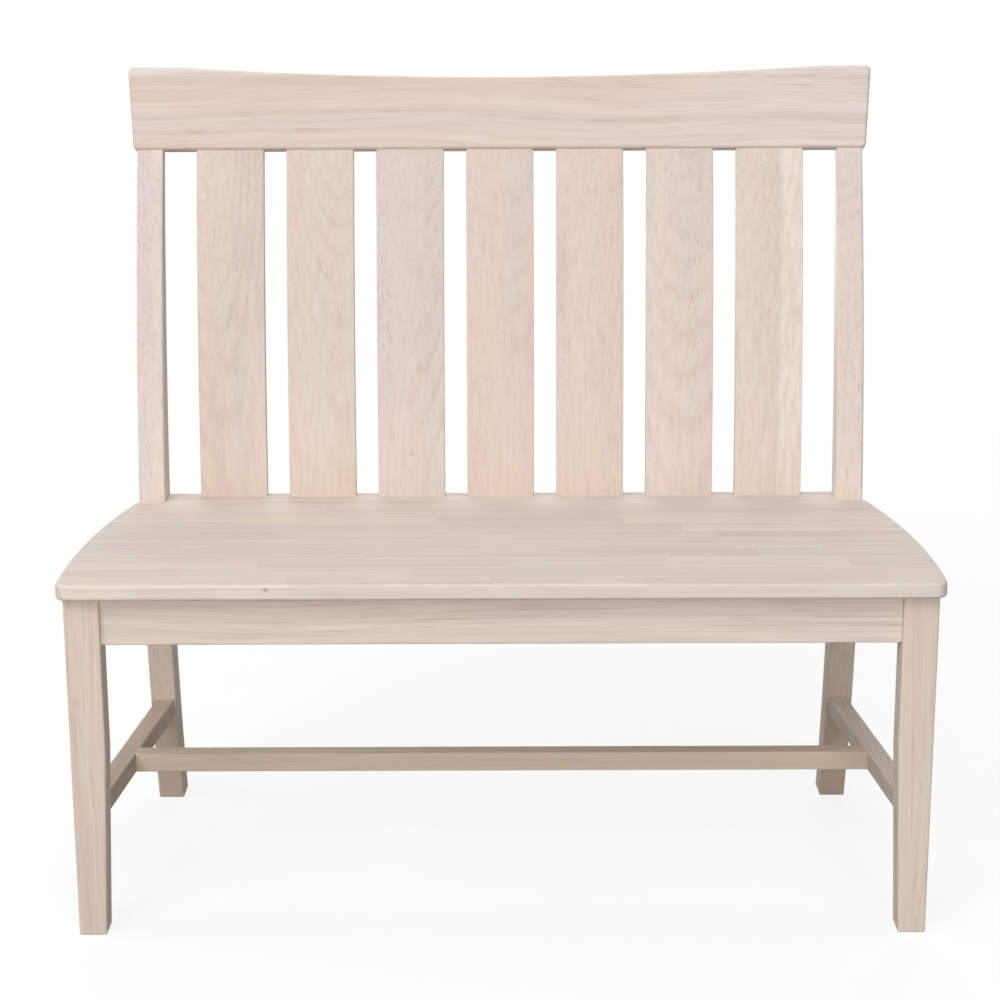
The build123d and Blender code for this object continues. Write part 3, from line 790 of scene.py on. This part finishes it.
# painted light: each stave is a little lighter than the one in front of it, as the rear of the seat is more
# brightly lit
rear_painted_light = 11
faint_seam = 0.3
seams = {3: 0.9, 5: 0.9, 8: 0.8}
stave_tones = {1: tint(225, 211, 201)}
stave_knots = {1: (Knot((-0.281, cad_low.y + 0.002, 0.451), (0.0045, 0.012, 0.0035), tint(190, 152, 134)),)}
stave_patches = {
    1: (Patch(full, (-0.8, -0.45), tint(226, 204, 193), 0.5, fade=0.06),),
    7: (Patch(full, (-0.38, -0.17), pale, 0.6),),
}
for number, shares in enumerate(joint_shares, start=1):
    name = "seat_stave_%d" % number
    low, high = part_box(name)
    places = [seat_width * (share - 0.5) for share in shares]
    rear_share = number / len(joint_shares)
    main = stave_tones.get(number, tint(*(value + rear_painted_light * rear_share for value in front_tone)))
    glued = ((low.y, seams.get(number - 1, faint_seam)), (high.y, seams.get(number, faint_seam)))
    board(
        name, flat_lengthwise, seed=200 + number, tones=(main, mauve, seat_cream), streaks=0.6, fine=0.28,
        figure=0.24, blocks=(places, seat_low.z, seat_high.z - seat_low.z), bounds=glued,
        pith=(0.03, -0.09), patches=stave_patches.get(number, ()), knots=stave_knots.get(number, ()),
    )
print("staves dressed:", len(joint_shares), "seat width", round(seat_width, 4))

# %% [markdown]
# ## Pieces that grow from a rule
# Slats, dowels and screws repeat, and each follows from a few sizes. A `Maker` is a tree of shape nodes
# with named sizes: the tree is written once, fed the sizes of each piece, and its result is kept as a
# plain mesh. It ends by making every copy real and giving it its material.

# %% A maker of pieces
sharp_angle = math.radians(35)


class Maker(Plan):
    """A tree of shape nodes that makes a piece from named sizes."""

    def __init__(self, name, sizes):
        super().__init__(bpy.data.node_groups.new(name, "GeometryNodeTree"))
        sockets = self.tree.interface
        sockets.new_socket("Geometry", in_out="OUTPUT", socket_type="NodeSocketGeometry")
        sockets.new_socket("Geometry", in_out="INPUT", socket_type="NodeSocketGeometry")
        for label, kind in sizes.items():
            sockets.new_socket(label, in_out="INPUT", socket_type="NodeSocket" + kind)
        sockets.new_socket("Material", in_out="INPUT", socket_type="NodeSocketMaterial")
        self.base = self.node("NodeGroupInput")

    def size(self, label):
        return self.base.other(label)

    def moved(self, shape, translation=None, rotation=None, scale=None):
        return self.node(
            "GeometryNodeTransform", {}, geometry=shape, translation=translation, rotation=rotation,
            scale=scale,
        )

    def joined(self, *shapes):
        """Several shapes as one."""
        join = self.node("GeometryNodeJoinGeometry")
        for shape in shapes:
            self.tree.links.new(shape.socket, join.socket.node.inputs[0])
        return join

    def remembered(self, shape, name, value, kind):
        """Store a value on every point of a shape."""
        settings = {"data_type": kind, "domain": "POINT"}
        return self.node("GeometryNodeStoreNamedAttribute", settings, geometry=shape, name=name, value=value)

    def recalled(self, name, kind):
        return self.node("GeometryNodeInputNamedAttribute", {"data_type": kind}, name)

    def finish(self, shape):
        """End the tree: copies become real and take the given material."""
        real = self.node("GeometryNodeRealizeInstances", {}, shape)
        painted = self.node("GeometryNodeSetMaterial", {}, geometry=real, material=self.size("Material"))
        self.node("NodeGroupOutput", {}, painted)

    def make(self, name, sizes, material, base=None):
        """Run the tree with these sizes and keep the result as a plain mesh."""
        piece = bpy.data.objects.new(name, base or bpy.data.meshes.new(name + "_base"))
        bpy.context.scene.collection.objects.link(piece)
        modifier = piece.modifiers.new("maker", "NODES")
        modifier.node_group = self.tree
        given = dict(sizes, Material=material)
        for item in self.tree.interface.items_tree:
            if item.in_out == "INPUT" and item.name in given:
                modifier[item.identifier] = given[item.name]
        view = bpy.context.evaluated_depsgraph_get()
        mesh = bpy.data.meshes.new_from_object(
            piece.evaluated_get(view), preserve_all_data_layers=True, depsgraph=view
        )
        piece.modifiers.clear()
        piece.data = mesh
        mesh.name = name
        mesh.materials.clear()
        mesh.materials.append(material)
        mesh.shade_smooth()
        mesh.set_sharp_from_angle(angle=sharp_angle)
        return piece


print("makers ready")

# %% How true a grown piece is
def farthest(piece, name):
    """The largest distance in millimetres from a piece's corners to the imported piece's surface."""
    packed = nodes[name].data
    tree = BVHTree.FromPolygons(
        [vertex.co for vertex in packed.vertices], [face.vertices for face in packed.polygons]
    )
    return 1000 * max(tree.find_nearest(vertex.co)[3] for vertex in piece.data.vertices)


print("a grown piece is measured against the packed one, in millimetres")

# %% [markdown]
# ### Back slats
# A slat is a thin board with a gentle bow that meets a sitter's back. It can be made as a rounded
# section swept along an arc through three places. A swept section ends square to the arc, but the real
# slat is cut level at the foot and to the lean of the crest rail at the head, so the end corners are
# slid along the arc's direction onto those two planes. Stub tenons go on last. Depths are counted from
# the faces of the front legs.

# %% The bowed board
slat_steps = 41
corner_steps = 3
slat_sizes = {
    "Foot": "Vector", "Middle": "Vector", "Head": "Vector", "Foot Base": "Vector", "Head Base": "Vector",
    "Head Up": "Vector", "Lean": "Float", "Width": "Float", "Thickness": "Float", "Round": "Float",
    "Tenon": "Vector", "Place": "Float",
}
slats = Maker("bent_slat", slat_sizes)
arc = slats.node(
    "GeometryNodeCurveArc", {"mode": "POINTS"}, resolution=slat_steps, start=slats.size("Foot"),
    middle=slats.size("Middle"), end=slats.size("Head"),
)
arc = slats.node("GeometryNodeSetCurveNormal", {"mode": "Z_UP"}, arc)
arc = slats.remembered(arc, "along", slats.node("GeometryNodeSplineParameter"), "FLOAT")
arc = slats.remembered(arc, "way", slats.node("GeometryNodeInputTangent"), "FLOAT_VECTOR")
section = slats.node(
    "GeometryNodeCurvePrimitiveQuadrilateral", {}, width=slats.size("Width"), height=slats.size("Thickness")
)
section = slats.node(
    "GeometryNodeFilletCurve", {"mode": "POLY"}, section, count=corner_steps, radius=slats.size("Round")
)
body = slats.node("GeometryNodeCurveToMesh", {}, arc, section, fill_caps=True)
print("places along a slat:", slat_steps)

# %% Cut ends and tenons
end_share = 0.0001
along, way = slats.recalled("along", "FLOAT"), slats.recalled("way", "FLOAT_VECTOR")
spot = slats.node("GeometryNodeInputPosition")
ends = (
    (along < end_share, slats.size("Foot Base"), (0.0, 0.0, 1.0)),
    (along > 1 - end_share, slats.size("Head Base"), slats.size("Head Up")),
)
for chosen, base, square in ends:
    gap = slats.vector("DOT_PRODUCT", slats.vector("SUBTRACT", base, spot), square)
    slide = slats.scaled(way, gap / slats.vector("DOT_PRODUCT", way, square))
    body = slats.node("GeometryNodeSetPosition", {}, body, selection=chosen, offset=slide)
half = slats.node("ShaderNodeSeparateXYZ", {}, slats.size("Tenon")).other("Z") / 2
tenon = slats.node("GeometryNodeMeshCube", {}, slats.size("Tenon")).other("Mesh")
drop = slats.point(0.0, 0.0, half)
low_tenon = slats.moved(tenon, slats.vector("SUBTRACT", slats.size("Foot Base"), drop))
rise = slats.scaled(slats.size("Head Up"), half)
turn = slats.point(slats.size("Lean") * -1, 0.0, 0.0)
high_tenon = slats.moved(tenon, slats.vector("ADD", slats.size("Head Base"), rise), turn)
whole = slats.joined(body, low_tenon, high_tenon)
slats.finish(slats.moved(whole, slats.point(slats.size("Place"), 0.0, 0.0)))
print("nodes in the slat maker:", len(slats.tree.nodes))

# %% Sizes of the slats
slat_width, slat_gap, slat_thickness, slat_round = 0.092, 0.031, 0.013, 0.0015
foot_depth, foot_height = 0.4295, 0.457
head_depth, head_height = 0.507, 0.927
head_inset = 0.001
belly = 0.012
tenon_shoulder, tenon_thickness, tenon_length = 0.008, 0.007, 0.014
lean = math.radians(18.5)

leg_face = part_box("front_leg_left")[0].y
head_up = Vector((0, math.sin(lean), math.cos(lean)))
head_back = Vector((0, math.cos(lean), -math.sin(lean)))
low_face = Vector((0, leg_face + foot_depth, foot_height))
high_face = Vector((0, leg_face + head_depth, head_height)) + head_back * head_inset


def bow(low, high, belly, inset):
    """Foot, middle and head of an arc in side view that bulges forward between two places."""
    chord = high - low
    radius = chord.length ** 2 / (8 * belly) + belly / 2
    backward = Vector((0, chord.z, -chord.y)).normalized()
    centre = (low + high) / 2 + backward * (radius - belly)
    faces = (low, (low + high) / 2 - backward * belly, high)
    return [centre + (place - centre) * ((radius - inset) / radius) for place in faces]


foot, waist, head = bow(low_face, high_face, belly, slat_thickness / 2)
slat_values = {
    "Foot": tuple(foot), "Middle": tuple(waist), "Head": tuple(head),
    "Foot Base": tuple(low_face + Vector((0, slat_thickness / 2, 0))),
    "Head Base": tuple(high_face + head_back * slat_thickness / 2),
    "Head Up": tuple(head_up), "Lean": lean, "Width": slat_width, "Thickness": slat_thickness,
    "Round": slat_round, "Tenon": (slat_width - 2 * tenon_shoulder, tenon_thickness, tenon_length),
}
print("foot, middle and head of the arc:", foot, waist, head)

# %% [markdown]
# ### Seven boards, seven figures
# Slats are cut from different boards, and that is what makes a real back lively. The first shows
# slanting arches, the third is the greyest and has two small knots, the fifth has a reddish patch at
# its left edge, and the last has a pale strip of sapwood on the right. All get a warm painted shade
# near the foot, where they meet the seat.

# %% Make the slats
slat_looks = [
    {"tones": (tint(222, 208, 196), tint(214, 202, 197), tint(219, 201, 188)), "figure": 0.4,
     "pith": (-0.02, 0.05), "slope": (0.1, 0.0),
     "patches": (Patch((-1, -0.62), full, tint(227, 211, 193), 0.6),)},
    {"tones": (tint(224, 211, 197), tint(226, 208, 192), tint(219, 207, 197)), "figure": 0.17,
     "pith": (0.03, 0.06), "slope": (0.02, 0.0),
     "patches": (Patch((-1, -0.6), full, tint(222, 203, 190), 0.5),)},
    {"tones": (tint(221, 207, 201), tint(215, 206, 202), tint(221, 208, 197)), "figure": 0.2,
     "pith": (-0.01, 0.09), "patches": (Patch((0.7, 1), full, tint(221, 214, 204), 0.6),),
     "knots": (Knot((-0.151, 0.199, 0.731), (0.003, 0.02, 0.004), knot_pink),
               Knot((-0.123, 0.165, 0.516), (0.003, 0.02, 0.005), knot_pink))},
    {"tones": (tint(225, 207, 195), tint(221, 206, 199), tint(224, 208, 192)), "figure": 0.16,
     "pith": (0.0, 0.12), "patches": (Patch((0.3, 0.8), (0.2, 1), tint(221, 208, 205), 0.5),)},
    {"tones": (tint(225, 209, 196), tint(220, 205, 199), tint(227, 211, 194)), "figure": 0.2,
     "pith": (-0.04, 0.03), "slope": (-0.03, 0.0),
     "patches": (Patch((-1, -0.68), (-0.05, 0.42), tint(217, 188, 174), 0.45, fade=0.04),)},
    {"tones": (tint(228, 211, 201), tint(221, 209, 204), tint(229, 213, 197)), "figure": 0.2,
     "pith": (0.01, 0.1), "patches": (Patch((-1, -0.7), full, tint(216, 209, 205), 0.55),)},
    {"tones": (tint(226, 212, 199), tint(220, 210, 202), tint(227, 211, 193)), "figure": 0.16,
     "pith": (-0.06, 0.09), "slope": (0.012, 0.0),
     "patches": (Patch((0.3, 1), full, tint(241, 230, 219), 0.85),
                 Patch((0.05, 0.3), full, tint(218, 210, 202), 0.5))},
]
# painted shade: a warm, darker band at the foot of every slat, where it meets the seat
foot_painted_shade = Patch(full, (-1, -0.7), tint(217, 196, 177), 0.45, fade=0.08)
for number, look in enumerate(slat_looks, start=1):
    name = "back_slat_%d" % number
    place = (number - (len(slat_looks) + 1) / 2) * (slat_width + slat_gap)
    patches = look.pop("patches", ()) + (foot_painted_shade,)
    timber = wood("wood_" + name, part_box(name), upright, seed=100 + number, patches=patches, **look)
    slat = slats.make("slat_%d" % number, dict(slat_values, Place=place), timber)
    print(name, "corners", len(slat.data.vertices), "off by", round(farthest(slat, name), 3), "mm")
    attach(slat, "root")
    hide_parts(name)

# %% [markdown]
# ### Where the pins are
# Dowels and screws sit deep in the joints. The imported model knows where: each is a loose part of one
# node. Corners that share a place belong together, which finds the loose parts. The longest direction
# of a part's corners is its axis, and for a screw the wide end is the head.

# %% Loose parts
place_digits = 6


def loose_parts(name):
    """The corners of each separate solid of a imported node."""
    mesh = nodes[name].data
    keys = {}
    corners = [tuple(round(value, place_digits) for value in vertex.co) for vertex in mesh.vertices]
    owner = [keys.setdefault(corner, len(keys)) for corner in corners]
    leader = list(range(len(keys)))

    def find(corner):
        while leader[corner] != corner:
            corner = leader[corner]
        return corner

    for edge in mesh.edges:
        first, second = (find(owner[end]) for end in edge.vertices)
        leader[first] = second
    parts = {}
    for key, corner in keys.items():
        parts.setdefault(find(corner), []).append(key)
    return [np.array(corners) for corners in parts.values()]


print("loose parts of the crest dowels:", len(loose_parts("crest_dowels")))

# %% Ends and headings
end_zone = 0.003
pin_names = ("frame_dowels", "crest_dowels", "seat_screws", "corner_block_screws")


def pins(name):
    """The narrow end, the heading towards the wide end, and the length of each loose part."""
    found = []
    for corners in loose_parts(name):
        centre = (corners.min(axis=0) + corners.max(axis=0)) / 2
        axis = np.linalg.svd(corners - corners.mean(axis=0))[2][0]
        along = (corners - centre) @ axis
        far = np.linalg.norm(corners - centre - np.outer(along, axis), axis=1)
        ends = [far[np.abs(along - end) < end_zone].max() for end in (along.min(), along.max())]
        heading = axis if ends[1] >= ends[0] else -axis
        found.append((centre - heading * np.ptp(along) / 2, heading, np.ptp(along)))
    return found


fasteners = {name: pins(name) for name in pin_names}
for name, found in fasteners.items():
    print(name, len(found), "pins, length", round(1000 * found[0][2], 2), "mm")

# %% One copy at each pin
number_step = 0.37


def marked(name, found):
    """A mesh with one point for each pin, which remembers its heading and a number of its own."""
    mesh = bpy.data.meshes.new(name + "_points")
    mesh.from_pydata([tuple(start) for start, heading, length in found], [], [])
    way = mesh.attributes.new("heading", "FLOAT_VECTOR", "POINT")
    way.data.foreach_set("vector", np.array([heading for start, heading, length in found]).ravel())
    number = mesh.attributes.new("number", "FLOAT", "POINT")
    number.data.foreach_set("value", np.arange(len(found)) * number_step)
    return mesh


def planted(maker, shape):
    """One copy of a shape, drawn upwards from its narrow end, at each point and along its heading."""
    turn = maker.node(
        "FunctionNodeAlignRotationToVector", {"axis": "Z"}, vector=maker.recalled("heading", "FLOAT_VECTOR")
    )
    return maker.node("GeometryNodeInstanceOnPoints", {}, points=maker.base, instance=shape, rotation=turn)


print("copies to plant:", sum(len(found) for found in fasteners.values()))

# %% [markdown]
# ### Dowels
# A dowel is a short turned pin with flutes along it, so that glue can climb out of the hole, and with
# its ends eased so that it starts straight. It is a many-pointed section swept up a line, and it is
# drawn in near both ends. Each point of the pin remembers its place along the pin, which gives the
# wood a grain that runs with every pin, whichever way it lies.

# %% The dowel maker
dowel_steps = 37
end_narrowing_share = 0.22
groove_share, ridge_share = 0.465, 0.5
dowels = Maker("fluted_dowel", {"Diameter": "Float", "Length": "Float", "Flutes": "Int", "Ease": "Float"})
line = dowels.node(
    "GeometryNodeCurvePrimitiveLine", {}, start=(0.0, 0.0, 0.0),
    end=dowels.point(0.0, 0.0, dowels.size("Length")),
)
line = dowels.node("GeometryNodeResampleCurve", {}, line, count=dowel_steps)
height = dowels.node("ShaderNodeSeparateXYZ", {}, dowels.node("GeometryNodeInputPosition")).other("Z")
inward = height.math("MINIMUM", height, dowels.size("Length") - height) / dowels.size("Ease")
narrow = inward.math("MINIMUM", inward, 1.0) * end_narrowing_share + (1 - end_narrowing_share)
star = dowels.node(
    "GeometryNodeCurveStar", {}, points=dowels.size("Flutes"),
    inner_radius=dowels.size("Diameter") * groove_share,
    outer_radius=dowels.size("Diameter") * ridge_share,
)
pin = dowels.node("GeometryNodeCurveToMesh", {}, line, star, scale=narrow, fill_caps=True)
pin = dowels.remembered(pin, "grain", dowels.node("GeometryNodeInputPosition"), "FLOAT_VECTOR")
row = dowels.node("GeometryNodeRealizeInstances", {}, planted(dowels, pin))
number = dowels.recalled("number", "FLOAT")
grain = dowels.vector("ADD", dowels.recalled("grain", "FLOAT_VECTOR"), dowels.point(0.0, 0.0, number))
dowels.finish(dowels.remembered(row, "grain", grain, "FLOAT_VECTOR"))
print("nodes in the dowel maker:", len(dowels.tree.nodes))

# %% Make the dowels
thick_dowel, thin_dowel, dowel_length = 0.008, 0.006, 0.036
pin_box = (Vector((0.0, 0.0, 0.0)), Vector((thick_dowel, thick_dowel, dowel_length)))
pin_tones = (tint(224, 203, 172), tan, cream)
pin_wood = wood("wood_dowels", pin_box, upright, seed=91, tones=pin_tones, own="grain")
for name, diameter in (("frame_dowels", thick_dowel), ("crest_dowels", thin_dowel)):
    found = fasteners[name]
    sizes = {"Diameter": diameter, "Length": float(found[0][2]), "Flutes": 16, "Ease": 0.001}
    piece = dowels.make("fluted_" + name, sizes, pin_wood, marked(name, found))
    print(name, "corners", len(piece.data.vertices), "off by", round(farthest(piece, name), 3), "mm")
    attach(piece, "root")
    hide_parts(name)

# %% [markdown]
# ### Screws
# A wood screw is a core with a thread that climbs round it, a plain shank under the head, a point, and
# a low domed head with a square socket. The thread is a small triangle swept along a spiral, and it
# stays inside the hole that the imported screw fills. The dome is a hair smaller than the plate under it,
# so that no two faces share one plane when they are united. The socket is cut out of the head.

# %% Core, point and shank
screw_sides = 24
root_share, shank_share, threaded_share = 0.76, 0.97, 0.62
screw_sizes = {
    "Length": "Float", "Shank": "Float", "Tip": "Float", "Head": "Float", "Head Height": "Float",
    "Socket": "Float", "Socket Depth": "Float", "Pitch": "Float",
}
screws = Maker("socket_screw", screw_sizes)
length, tip, crest = screws.size("Length"), screws.size("Tip"), screws.size("Shank") / 2
root = crest * root_share
threaded = (length - tip) * threaded_share
core = screws.node(
    "GeometryNodeMeshCylinder", {}, vertices=screw_sides, radius=root, depth=length - tip
).other("Mesh")
core = screws.moved(core, screws.point(0.0, 0.0, (length + tip) / 2))
point = screws.node(
    "GeometryNodeMeshCone", {}, vertices=screw_sides, radius_top=root, radius_bottom=0.0, depth=tip
).other("Mesh")
bare_length = length - tip - threaded
plain = screws.node(
    "GeometryNodeMeshCylinder", {}, vertices=screw_sides, radius=crest * shank_share, depth=bare_length
).other("Mesh")
plain = screws.moved(plain, screws.point(0.0, 0.0, length - bare_length / 2))
print("nodes in the bare screw:", len(screws.tree.nodes))

# %% Thread
steps_a_turn = 18
tooth_corners = 3
bare_tip_share, tip_start_share = 0.2, 0.25
tip_climb = tip * (1 - bare_tip_share)
turns = [
    (threaded / screws.size("Pitch"), root, threaded, tip),
    (tip_climb / screws.size("Pitch"), root * tip_start_share, tip_climb, tip * bare_tip_share),
]
tooth = screws.node(
    "GeometryNodeCurvePrimitiveCircle", {"mode": "RADIUS"}, resolution=tooth_corners, radius=crest - root
)
threads = []
for rounds, start, climb, bottom in turns:
    spiral = screws.node(
        "GeometryNodeCurveSpiral", {}, resolution=steps_a_turn, rotations=rounds, start_radius=start,
        end_radius=root, height=climb,
    )
    thread = screws.node("GeometryNodeCurveToMesh", {}, spiral, tooth, fill_caps=True)
    threads.append(screws.moved(thread, screws.point(0.0, 0.0, bottom)))
print("runs of thread:", len(threads))

# %% Head and socket
head_sides, dome_rings = 36, 16
dome_width_share, dome_height_share = 0.4995, 0.999
rim = screws.size("Head Height") / 2
plate = screws.node(
    "GeometryNodeMeshCylinder", {}, vertices=head_sides, radius=screws.size("Head") / 2, depth=rim
).other("Mesh")
plate = screws.moved(plate, screws.point(0.0, 0.0, length + rim / 2))
dome = screws.node(
    "GeometryNodeMeshUVSphere", {}, segments=head_sides, rings=dome_rings, radius=1.0
).other("Mesh")
wide = screws.size("Head") * dome_width_share
stretch = screws.point(wide, wide, rim * dome_height_share)
dome = screws.moved(dome, screws.point(0.0, 0.0, length + rim), scale=stretch)
joined_head = screws.node("GeometryNodeMeshBoolean", {"operation": "UNION"})
for shape in (plate, dome):
    screws.tree.links.new(shape.socket, joined_head.socket.node.inputs["Mesh 2"])
socket = screws.node(
    "GeometryNodeMeshCube", {},
    screws.point(screws.size("Socket"), screws.size("Socket"), screws.size("Socket Depth") * 2),
).other("Mesh")
socket = screws.moved(socket, screws.point(0.0, 0.0, length + rim * 2))
cut_head = screws.node("GeometryNodeMeshBoolean", {"operation": "DIFFERENCE"}, joined_head)
screws.tree.links.new(socket.socket, cut_head.socket.node.inputs["Mesh 2"])
screws.finish(planted(screws, screws.joined(core, point, plain, cut_head, *threads)))
print("nodes in the screw maker:", len(screws.tree.nodes))

# %% [markdown]
# ### Bright steel
# The screws are zinc plated: a grey metal with a faint cloudiness, a little rougher where the cloud is
# pale, and with a very fine grain.

# %% The steel
cloud_changes, grain_changes = 240.0, 3000.0
grain_strength, grain_height = 0.2, 0.00003
plated_roughness, cloud_dullness = 0.26, 0.22
steel = bpy.data.materials.new("zinc_steel")
steel.use_nodes = True
plan = Plan(steel.node_tree)
spot = plan.node("ShaderNodeTexCoord").other("Object")
cloud = plan.noise(spot, (cloud_changes,) * 3, detail=3.0)
grains = plan.noise(spot, (grain_changes,) * 3, detail=1.0)
colour = plan.mix(cloud, tint(186, 182, 172), tint(214, 211, 203))
bump = plan.node("ShaderNodeBump", {}, strength=grain_strength, distance=grain_height, height=grains)
shader = plan.node(
    "ShaderNodeBsdfPrincipled", {}, base_color=colour, metallic=1.0,
    roughness=plated_roughness + cloud * cloud_dullness, normal=bump,
)
plan.node("ShaderNodeOutputMaterial", {}, shader)
print("nodes in the steel:", len(steel.node_tree.nodes))

# %% Make the screws
screw_head = 0.0027
for name in ("seat_screws", "corner_block_screws"):
    found = fasteners[name]
    sizes = {
        "Length": float(found[0][2]) - screw_head, "Shank": 0.004, "Tip": 0.005, "Head": 0.008,
        "Head Height": screw_head, "Socket": 0.0026, "Socket Depth": 0.0012, "Pitch": 0.0018,
    }
    piece = screws.make("threaded_" + name, sizes, steel, marked(name, found))
    print(name, "corners", len(piece.data.vertices), "off by", round(farthest(piece, name), 3), "mm")
    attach(piece, "root")
    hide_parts(name)
